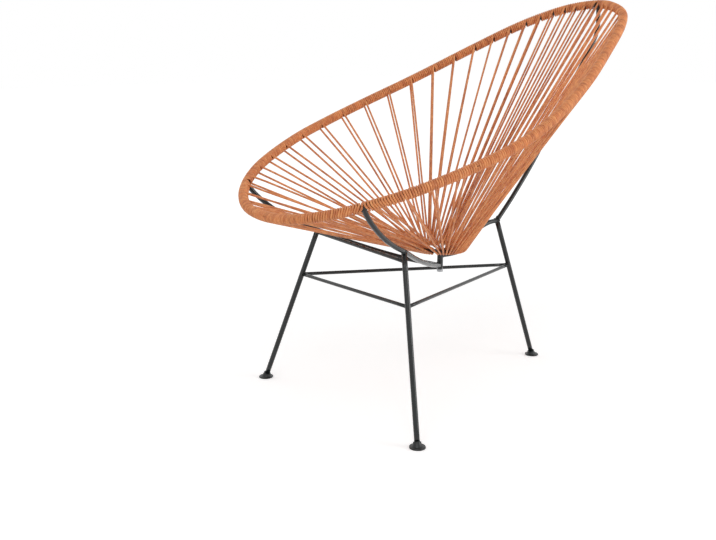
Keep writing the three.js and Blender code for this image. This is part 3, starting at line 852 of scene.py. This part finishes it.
def paint_material():
    """Dark satin paint on the frame, made once."""
    finish = bpy.context.scene.chair_finishes
    return bpy.data.materials.get("dark_frame_paint") or metal_material(
        "dark_frame_paint", finish.paint, finish.paint_dust, finish.bare_steel,
        rough=0.24, peel=700.0, wear_height=0.006, wear=0.1, relief_size=0.00015,
        plain=[("Specular IOR Level", 0.2), ("Coat Weight", 0.55)])


def build_finishes():
    """The shared groups and the materials that more than one operator uses."""
    metal_skin_group()
    paint_material()


# Frame lines that more than one operator needs


class FrameLines:
    """Centre lines of the frame, in metres, and the points that they run through."""

    def __init__(self):
        size, hub, seat = settings("frame", "hub", "seat")
        self.hoop = hoop = Hoop(seat)
        self.foot = np.array([size.front_foot_x, size.front_foot_y, 0.0])
        self.top = np.array([size.front_top_x, size.front_top_y, size.front_top_z])
        self.rear_foot = np.array([0.0, size.rear_foot_y, 0.0])
        self.rear_top = np.array([0.0, size.rear_top_y, size.rear_top_z])
        boss = np.array([0.0, hub.hub_y, hub.meet_height])
        spoke_start = boss + UP * hub.spoke_rise
        rib_end, back = hoop.centre(hoop.ray_run(np.array([RIB_RAY, seat.rays_per_half])))
        self.rib = curve(
            [boss], bends(boss, self.top, RIB_INNER_SHARES), [self.top],
            bends(self.top, rib_end, RIB_OUTER_SHARES), [rib_end])
        self.spoke = curve(
            [spoke_start], bends(spoke_start, self.rear_top, SPOKE_SHARES), [self.rear_top])
        self.upright = curve(
            [self.rear_top], bends(self.rear_top, back, UPRIGHT_SHARES), [back])

    def legs(self):
        """Each leg's name, foot and top."""
        return [
            ("front_left", self.foot, self.top),
            ("front_right", self.foot * TO_OTHER_SIDE, self.top * TO_OTHER_SIDE),
            ("rear", self.rear_foot, self.rear_top),
        ]

    def cross_bars(self):
        """Each cross bar's name and its two ends, which lie on the legs' axes."""
        size = bpy.context.scene.chair_frame
        bar_left, bar_right, low = (
            at_height(self.foot, self.top, z)
            for z in (size.top_bar_left_z, size.top_bar_right_z, size.front_bar_z))
        rear = at_height(self.rear_foot, self.rear_top, size.rear_bar_z)
        return [
            ("front_top_bar", bar_left, bar_right * TO_OTHER_SIDE),
            ("front_stretcher", low, low * TO_OTHER_SIDE),
            ("left_stretcher", low, rear),
            ("right_stretcher", low * TO_OTHER_SIDE, rear),
        ]


class ChairPiece(bpy.types.Operator):
    """Shared by the chair's operators."""

    bl_options = {"REGISTER", "UNDO"}

    @classmethod
    def poll(cls, context):
        return context.scene is not None


class CHAIR_OT_wind_cord(ChairPiece):
    """Winds the cord on the hoop and strings it to the hub ring, in fourteen panels"""

    bl_idname = "chair.wind_cord"
    bl_label = "Wind the cord"

    def execute(self, context):
        seat = context.scene.chair_seat
        lines = FrameLines()
        hoop = lines.hoop
        cord = CordPath(lines).lay()
        material = cord_material()
        whole = 2 * seat.rays_per_half
        gap = seat.cord * 0.01
        for side in ("left", "right"):
            for number, (a, b) in enumerate(zip(PANEL_EDGES, PANEL_EDGES[1:]), 1):
                edges = (a, b) if side == "left" else (whole - b, whole - a)
                start, end = hoop.ray_run(np.array(edges))
                end = end if end > start else hoop.whole
                path, sides, runs = cut_cord(cord, start + gap, end - gap)
                rings = rings_about(path, path_tangents(path), sides, seat.cord / 2, CORD_SIDES)
                mesh = grid_mesh(f"wound_cord_{side}_{number}", rings, uv_run=runs)
                put_piece(mesh, material, "seat_cord", f"cord_panel_{side}_{number}")
        return {"FINISHED"}


class CHAIR_OT_bend_hoop(ChairPiece):
    """Bends the round steel hoop under the winding"""

    bl_idname = "chair.bend_hoop"
    bl_label = "Bend the hoop"

    def execute(self, context):
        seat = context.scene.chair_seat
        hoop = Hoop(seat)
        rings = 240
        path = hoop.centre(hoop.whole * np.arange(rings) / rings)
        mesh = tube_mesh(
            "seat_hoop_rod", path, hoop.normal, seat.hoop_rod, HOOP_SIDES, closed=True)
        put_painted(mesh, "seat_hoop")
        return {"FINISHED"}


class CHAIR_OT_build_hub(ChairPiece):
    """Turns the boss, bends the hub ring and makes the bracket that carries it"""

    bl_idname = "chair.build_hub"
    bl_label = "Build the hub"

    def execute(self, context):
        seat, hub = settings("seat", "hub")
        middle = np.array([0.0, hub.hub_y, 0.0])
        _, ring_radius = ring_sizes(seat, hub)
        rings = 96
        path = round_rings(np.full((1, rings), ring_radius), [hub.ring_height])[0] + middle
        ring = tube_mesh("hub_ring_rod", path, UP, hub.ring_rod, HOOP_SIDES, closed=True)
        put_painted(ring, "hub_ring")

        bottom, r = hub.boss_top - hub.boss_height, hub.boss_diameter / 2
        section = rounded_section(r, bottom, hub.boss_top, r * 0.12)
        boss = turned_mesh("hub_boss_turned", section, middle, crease=math.radians(32))
        put_painted(boss, "hub_boss")

        low = hub.boss_top + seat.seat_gap
        high = low + hub.plate_thickness
        section = rounded_section(hub.plate_diameter / 2, low, high, hub.plate_thickness * 0.3)
        shells = [turned_mesh("plate", section, middle, crease=math.radians(32))]
        for angle in bracket_angles(seat, hub):
            shells.append(arm_mesh("arm", hub, angle, r + seat.seat_gap, high, ring_radius))
        bracket = joined_mesh("hub_bracket_plate_and_arms", shells, sharp=math.radians(40))
        put_painted(bracket, "hub_bracket")
        return {"FINISHED"}


def bracket_angles(seat, hub):
    """Where the bracket's arms meet the hub ring: between two rays at each rib, and behind."""
    angles, _ = loop_angles(seat, hub)
    arm = (angles[RIB_RAY - 1] + angles[RIB_RAY]) / 2
    return [arm, -TURN / 2 - arm, TURN / 4]


def arm_mesh(name, hub, angle, near, top, ring_radius):
    """A flat bar on edge from beside the boss to the ring: a rounded oblong section whose depth
    changes evenly along it. Round each of its four corners, t runs a quarter turn."""
    soft = hub.arm_width * 0.15
    t = TURN / 4 * (np.arange(4)[:, None] + np.linspace(0, 1, 4)).ravel()
    corner = np.repeat(np.sign(np.array([[1, 1], [-1, 1], [-1, -1], [1, -1]])), 4, axis=0)
    half = np.array([[hub.arm_width, hub.arm_depth], [hub.arm_width, hub.arm_end_depth]]) / 2
    section = corner * (half[:, None] - soft) + soft * np.stack([np.cos(t), np.sin(t)], axis=1)
    radial = np.array([np.cos(angle), np.sin(angle), 0.0])
    sideways = np.array([-np.sin(angle), np.cos(angle), 0.0])
    ends = np.array([
        near * radial + UP * (top - hub.arm_depth / 2),
        ring_radius * radial + UP * hub.ring_height,
    ])
    rings = ends[:, None] + section[..., :1] * sideways + section[..., 1:] * UP
    return grid_mesh(name, rings + np.array([0, hub.hub_y, 0]), sharp=math.radians(40))


class CHAIR_OT_fit_hub_bolt(ChairPiece):
    """Fits the hub's bolt, washer and nut"""

    bl_idname = "chair.fit_hub_bolt"
    bl_label = "Fit the hub bolt"

    def execute(self, context):
        seat, hub, finish = settings("seat", "hub", "finishes")
        zinc = metal_material(
            "zinc_plate", finish.zinc, haze=(0.30, 0.31, 0.33), worn=(0.5, 0.5, 0.5), rough=0.34,
            peel=1500.0, wear_height=0.001, wear=0.0, relief_size=0.00008,
            plain=[("Metallic", 0.95)])
        gap = seat.seat_gap
        hole = hub.bolt / 2 + gap
        washer_top = hub.boss_top - hub.boss_height - gap
        washer_bottom = washer_top - hub.washer_thickness
        head_top = washer_bottom - gap
        nut_bottom = hub.boss_top + hub.plate_thickness + 2 * gap
        nut_top = nut_bottom + hub.nut_height
        middle = np.array([0.0, hub.hub_y, 0.0])
        head = hex_mesh("head", hub.head_across, head_top - hub.head_height, head_top, 0, middle)
        shank = thread_mesh("shank", hub.bolt, hub.bolt_pitch, head_top - hub.head_height / 2,
                            nut_top + hub.bolt_end, middle)
        bolt = joined_mesh("hub_bolt_threaded", [head, shank], sharp=math.radians(25))
        put_piece(bolt, zinc, "zinc_steel", "hub_bolt")
        section = rounded_section(
            hub.washer_diameter / 2, washer_bottom, washer_top, hub.washer_thickness * 0.3, steps=3)
        section = [(hole, washer_bottom), *section, (hole, washer_top)]
        washer = turned_mesh(
            "hub_washer_pressed", section, middle, crease=math.radians(40), closed=True)
        put_piece(washer, zinc, "zinc_steel", "hub_washer")
        nut = hex_mesh("hub_nut_hex", hub.head_across, nut_bottom, nut_top, hole, middle)
        put_piece(nut, zinc, "zinc_steel", "hub_nut")
        return {"FINISHED"}


def hex_mesh(name, across, low, high, hole, middle):
    """A hexagon with coned corners: r is across / 2 / cos of the angle from the flat's middle, and
    within a cone that meets the end faces just inside the flats. With a hole, the section closes
    round it."""
    t = TURN * np.arange(HEX_SIDES) / HEX_SIDES
    flat = across / 2 / np.cos((t + TURN / 12) % (TURN / 6) - TURN / 12)
    face = np.full(HEX_SIDES, across / 2 * 0.97)
    cone = (flat.max() - across / 2) * 0.55
    rows = [(face, low), (flat, low + cone), (flat, high - cone), (face, high)]
    if hole:
        inner = np.full(HEX_SIDES, hole)
        rows = [(inner, low), *rows, (inner, high)]
    radii, heights = zip(*rows)
    rings = round_rings(np.array(radii), heights)
    return grid_mesh(name, rings + middle, closed_path=bool(hole), sharp=math.radians(25))


def thread_mesh(name, diameter, pitch, low, high, middle):
    """A threaded rod: its radius falls with a triangle wave of z / pitch - angle / turn, fading to
    a plain cone at the top end."""
    rings_per_pitch = 4
    share_round = np.arange(THREAD_SIDES) / THREAD_SIDES
    z = np.linspace(low, high, int((high - low) / pitch * rings_per_pitch) + 1)
    phase = (z[:, None] / pitch - share_round) % 1
    depth = pitch * 0.5 * (1 - np.abs(2 * phase - 1))
    fade = np.clip((high - z) / pitch, 0, 1)[:, None]
    radius = diameter / 2 - depth * fade - pitch * 0.5 * (1 - fade)
    return grid_mesh(name, round_rings(radius, z) + middle)


class CHAIR_OT_bend_ribs(ChairPiece):
    """Bends the two ribs, the rear spoke and the rear upright"""

    bl_idname = "chair.bend_ribs"
    bl_label = "Bend the ribs"

    def execute(self, context):
        lines = FrameLines()
        size = context.scene.chair_frame
        for name, path, side in (
            ("left_rib", lines.rib, UP), ("right_rib", lines.rib * TO_OTHER_SIDE, UP),
            ("rear_spoke", lines.spoke, ACROSS), ("rear_upright", lines.upright, ACROSS),
        ):
            mesh = tube_mesh(f"{name}_bent", path, side, size.seat_frame_rod, ROD_SIDES)
            put_painted(mesh, name)
        return {"FINISHED"}


class CHAIR_OT_stand_legs(ChairPiece):
    """Stands the three legs"""

    bl_idname = "chair.stand_legs"
    bl_label = "Stand the legs"

    def execute(self, context):
        size = context.scene.chair_frame
        for name, foot, top in FrameLines().legs():
            low = at_height(foot, top, size.foot_thickness)
            high = top - unit(top - foot) * size.seat_frame_rod * 0.1  # inside the rod on it
            mesh = rod_mesh(f"{name}_leg_rod", low, high, ACROSS, size.leg_rod, LEG_SIDES)
            put_painted(mesh, f"{name}_leg")
        return {"FINISHED"}


class CHAIR_OT_turn_feet(ChairPiece):
    """Turns the three foot discs with their leaning collars"""

    bl_idname = "chair.turn_feet"
    bl_label = "Turn the feet"

    def execute(self, context):
        size, finish = settings("frame", "finishes")
        paint = metal_material(
            "foot_paint", finish.paint, finish.paint_dust, finish.bare_steel,
            rough=0.42, peel=900.0, wear_height=0.0035, wear=0.22, relief_size=0.0002,
            plain=[("Specular IOR Level", 0.35), ("Coat Weight", 0.2)])
        for name, foot, top in FrameLines().legs():
            mesh = foot_mesh(f"{name}_foot_turned", size, foot, unit(top - foot))
            put_piece(mesh, paint, "foot_steel", f"{name}_foot")
        return {"FINISHED"}


def foot_mesh(name, size, foot, lean):
    """A foot: rings of a turned section whose axis leans over from upright at the disc to the
    leg's own direction at the collar's top. share is how far each ring has leaned, and between
    its ends the collar's radius falls with (1 - share) squared."""
    disc_top, soft = size.foot_thickness, size.foot_thickness * 0.3
    disc = np.array(rounded_section(size.foot_diameter / 2, 0, disc_top, soft))
    rising = np.linspace(0, 1, 9)
    base, top = size.collar_base / 2, size.collar_top / 2
    radius = np.concatenate([
        disc[:, 0], top + (base - top) * (1 - rising) ** 2, [size.leg_rod / 2]])
    height = np.concatenate([
        disc[:, 1], disc_top + (size.collar_height - disc_top) * rising,
        [size.collar_height + soft * 0.4]])
    share = np.concatenate([0 * disc[:, 0], rising, [1.0]])[:, None]
    axis = unit(UP * (1 - share) + lean * share)
    centre = foot + lean / lean[2] * height[:, None]
    rings = rings_about(centre, axis, ACROSS, radius, FOOT_SIDES)
    return grid_mesh(name, rings, sharp=math.radians(35))


class CHAIR_OT_fit_cross_bars(ChairPiece):
    """Fits the front top bar and the three stretchers"""

    bl_idname = "chair.fit_cross_bars"
    bl_label = "Fit the cross bars"

    def execute(self, context):
        size = context.scene.chair_frame
        for name, start, end in FrameLines().cross_bars():
            mesh = rod_mesh(f"{name}_rod", start, end, UP, size.cross_rod, CROSS_ROD_SIDES)
            put_painted(mesh, name)
        return {"FINISHED"}


class CHAIR_OT_lay_welds(ChairPiece):
    """Lays a weld bead round each joint of the frame"""

    bl_idname = "chair.lay_welds"
    bl_label = "Lay the weld beads"

    def execute(self, context):
        size, seat, hub = settings("frame", "seat", "hub")
        lines = FrameLines()
        hoop, rib, spoke, upright = lines.hoop, lines.rib, lines.spoke, lines.upright
        rod, leg, bar = size.seat_frame_rod / 2, size.leg_rod / 2, size.cross_rod / 2
        hoop_rod, boss, wide = seat.hoop_rod / 2, hub.boss_diameter / 2, size.weld_bead
        rib_at_leg = path_tangents(rib)[np.argmin(np.linalg.norm(rib - lines.top, axis=1))]
        joints = hoop.ray_run(np.array([RIB_RAY, seat.rays_per_half]))
        rim_at_rib, rim_at_back = hoop.axes(joints)[0]
        lean = {name: unit(top - foot) for name, foot, top in lines.legs()}

        def at_end(path, *other):
            """The bead where a path of rod size runs into something at its last point."""
            return bead(path[-1], unit(path[-1] - path[-2]), rod, *other)

        groups = {"front_left": [], "front_right": [], "rear": [], "hub": []}
        for name, side in (("front_left", 1), ("front_right", TO_OTHER_SIDE)):
            groups[name] += [
                bead(lines.top * side, lean[name], leg, rib_at_leg * side, rod, wide),
                at_end(rib * side, rim_at_rib * side, hoop_rod, wide)]
        groups["rear"] += [
            at_end(spoke, lean["rear"], leg, wide),
            at_end(upright, rim_at_back, hoop_rod, wide),
            at_end(upright[::-1], lean["rear"], leg, wide)]
        for _, start, end in lines.cross_bars():
            for here, there in ((start, end), (end, start)):
                name = "rear" if here[0] == 0 else "front_left" if here[0] > 0 else "front_right"
                groups[name].append(
                    bead(here, unit(here - there), bar, lean[name], leg, wide * 0.8))
        for path in (rib, rib * TO_OTHER_SIDE, spoke):
            groups["hub"].append(at_end(path[::-1], UP, boss, wide * 0.8))
        _, ring_radius = ring_sizes(seat, hub)
        for angle in bracket_angles(seat, hub):
            out = np.array([math.cos(angle), math.sin(angle), 0.0])
            end = out * ring_radius + (0, hub.hub_y, hub.ring_height)
            groups["hub"].append(
                bead(end, out, hub.arm_width / 2, np.cross(UP, out), hub.ring_rod / 2, wide * 0.5))
        for name, beads in groups.items():
            meshes = [grid_mesh("bead", rings, closed_path=True) for rings in beads]
            put_painted(joined_mesh(f"weld_beads_{name}", meshes))
        return {"FINISHED"}


def bead(point, into, radius, other_along, other_radius, wide):
    """Rings of a weld bead round the end of a rod that runs in the direction into, where its axis
    meets another's at point. With q on the first rod's skin at angle t, the distance s back along
    it to the other's skin solves |q - s into|, square to the other's axis, = its radius. The
    bead is a closed tube on those points, rippled as a weld is."""
    side = unit(np.cross(into, other_along))
    t = TURN * np.arange(48) / 48
    radial = np.cos(t)[:, None] * side + np.sin(t)[:, None] * np.cross(into, side)
    skin = radius * radial
    flat = skin - dots(skin, other_along) * other_along
    ahead = into - np.dot(into, other_along) * other_along
    a, b = np.dot(ahead, ahead), flat @ ahead
    inside = np.maximum(b * b - a * (np.sum(flat * flat, axis=1) - other_radius ** 2), 0)
    path = point + skin + ((-b - np.sqrt(inside)) / a)[:, None] * into
    ripple = 1 + 0.10 * np.cos(16 * t) + 0.06 * np.cos(5 * t + 1)
    along = path_tangents(path, closed=True)
    return rings_about(path, along, radial, wide / 2 * ripple, BEAD_SIDES, phase=0.5)


class CHAIR_OT_set_stage(ChairPiece):
    """Sets the floor, the lamps, the world and the camera"""

    bl_idname = "chair.set_stage"
    bl_label = "Set the stage"

    def execute(self, context):
        scene = context.scene
        stage, finish = settings("stage", "finishes")
        floor_mesh = bpy.data.meshes.new("floor")
        reach = 14.0
        corners = [(-reach, -reach, 0), (reach, -reach, 0), (reach, reach, 0), (-reach, reach, 0)]
        floor_mesh.from_pydata(corners, [], [(0, 1, 2, 3)])
        floor = bpy.data.objects.new("floor", floor_mesh)
        scene.collection.objects.link(floor)
        floor_mesh.materials.append(floor_material(finish.floor))
        set_world(stage.world_light)
        add_lamp("key_lamp", (2.2, -2.6, 3.2), stage.key_light, size=2.6)
        add_lamp("fill_lamp", (-3.0, -1.2, 2.4), stage.fill_light, size=2.8)
        add_lamp("side_lamp", (2.9, 1.9, 1.3), stage.side_light, size=1.6)
        camera = bpy.data.cameras.new("camera")
        camera.sensor_fit, camera.sensor_width = "HORIZONTAL", 36.0
        camera.lens = stage.lens
        camera.clip_start, camera.clip_end = 0.05, 60.0
        a, e = stage.azimuth, stage.elevation
        look = (-math.sin(a) * math.cos(e), math.cos(a) * math.cos(e), -math.sin(e))
        scene.camera = stand(camera, stage.camera_place, look)
        scene.view_settings.view_transform = "Standard"
        return {"FINISHED"}


def stand(data, place, look):
    """Links a lamp or camera that stands at place and faces along look."""
    thing = bpy.data.objects.new(data.name, data)
    bpy.context.scene.collection.objects.link(thing)
    thing.location = place
    thing.rotation_mode = "QUATERNION"
    thing.rotation_quaternion = Vector(look).to_track_quat("-Z", "Y")
    return thing


def add_lamp(name, place, power, size):
    """A large square lamp that points at the middle of the chair."""
    data = bpy.data.lights.new(name, "AREA")
    data.energy, data.shape, data.size = power, "SQUARE", size
    chair_middle = Vector((0, 0, 0.4))
    stand(data, place, chair_middle - Vector(place))


def set_world(strength):
    """Even light, and plain white where the camera or a reflection sees past the floor."""
    world = bpy.data.worlds.new("studio")
    bpy.context.scene.world = world
    world.use_nodes = True
    tree = world.node_tree
    background = tree.nodes["Background"]
    background.inputs[0].default_value = (1, 1, 1, 1)
    rays = add_node(tree, "ShaderNodeLightPath")
    mirrored = maths(
        tree, "MAXIMUM", rays.outputs["Is Glossy Ray"], rays.outputs["Is Transmission Ray"])
    seen = maths(tree, "MAXIMUM", rays.outputs["Is Camera Ray"], mirrored)
    tree.links.new(ranged(tree, seen, 0.0, 1.0, strength, 1.0), background.inputs[1])


def floor_material(tone):
    """A pale floor that keeps the chair's soft shadow. Where it is seen it is lifted towards
    white, and the lift grows with the distance from the chair."""
    made, tree, shader = new_material("pale_floor")
    place = add_node(tree, "ShaderNodeTexCoord").outputs["Object"]
    grain = noise(tree, place, scale=3.0, detail=3)
    lighter = [min(1.0, c * 1.02) for c in tone]
    tree.links.new(blended(tree, grain, rgba(tone), rgba(lighter)), shader.inputs["Base Color"])
    set_inputs(tree, shader, [
        ("Roughness", 0.9), ("Specular IOR Level", 0.1), ("Emission Color", (1, 1, 1, 1))])
    rays = add_node(tree, "ShaderNodeLightPath")
    seen = maths(tree, "MAXIMUM", rays.outputs["Is Camera Ray"], rays.outputs["Is Glossy Ray"])
    away = add_node(tree, "ShaderNodeVectorMath", [(0, place)], operation="LENGTH").outputs["Value"]
    lift = ranged(tree, away, low=0.8, high=2.6, to_low=0.335, to_high=0.52)
    tree.links.new(maths(tree, "MULTIPLY", seen, lift), shader.inputs["Emission Strength"])
    return made


STEPS = (
    CHAIR_OT_bend_hoop, CHAIR_OT_wind_cord, CHAIR_OT_build_hub, CHAIR_OT_fit_hub_bolt,
    CHAIR_OT_bend_ribs, CHAIR_OT_stand_legs, CHAIR_OT_turn_feet, CHAIR_OT_fit_cross_bars,
    CHAIR_OT_lay_welds, CHAIR_OT_set_stage,
)
GROUPS = {
    "chair_seat": ChairSeatSizes, "chair_hub": ChairHubSizes, "chair_frame": ChairFrameSizes,
    "chair_finishes": ChairFinishes, "chair_stage": ChairStageSettings,
}


class CHAIR_PT_panel(bpy.types.Panel):
    """Lists the chair's sizes, colours and steps."""

    bl_idname = "CHAIR_PT_panel"
    bl_label = "Strung chair"
    bl_space_type = "VIEW_3D"
    bl_region_type = "UI"
    bl_category = "Chair"

    def draw(self, context):
        for step in STEPS:
            self.layout.operator(step.bl_idname)
        for name, kind in GROUPS.items():
            box = self.layout.box()
            box.label(text=kind.__doc__)
            for key in kind.__annotations__:
                box.prop(getattr(context.scene, name), key)


def register():
    """Registers the settings, the operators and the panel."""
    for name, kind in GROUPS.items():
        bpy.utils.register_class(kind)
        setattr(bpy.types.Scene, name, PointerProperty(type=kind))
    for kind in (*STEPS, CHAIR_PT_panel):
        bpy.utils.register_class(kind)


def unregister():
    """Takes them all out again, last first."""
    for kind in (CHAIR_PT_panel, *reversed(STEPS)):
        bpy.utils.unregister_class(kind)
    for name, kind in reversed(list(GROUPS.items())):
        delattr(bpy.types.Scene, name)
        bpy.utils.unregister_class(kind)


def main():
    """Makes the whole chair."""
    register()
    build_finishes()
    for step in STEPS:
        family, name = step.bl_idname.split(".")
        getattr(getattr(bpy.ops, family), name)()


if __name__ == "__main__":
    main()
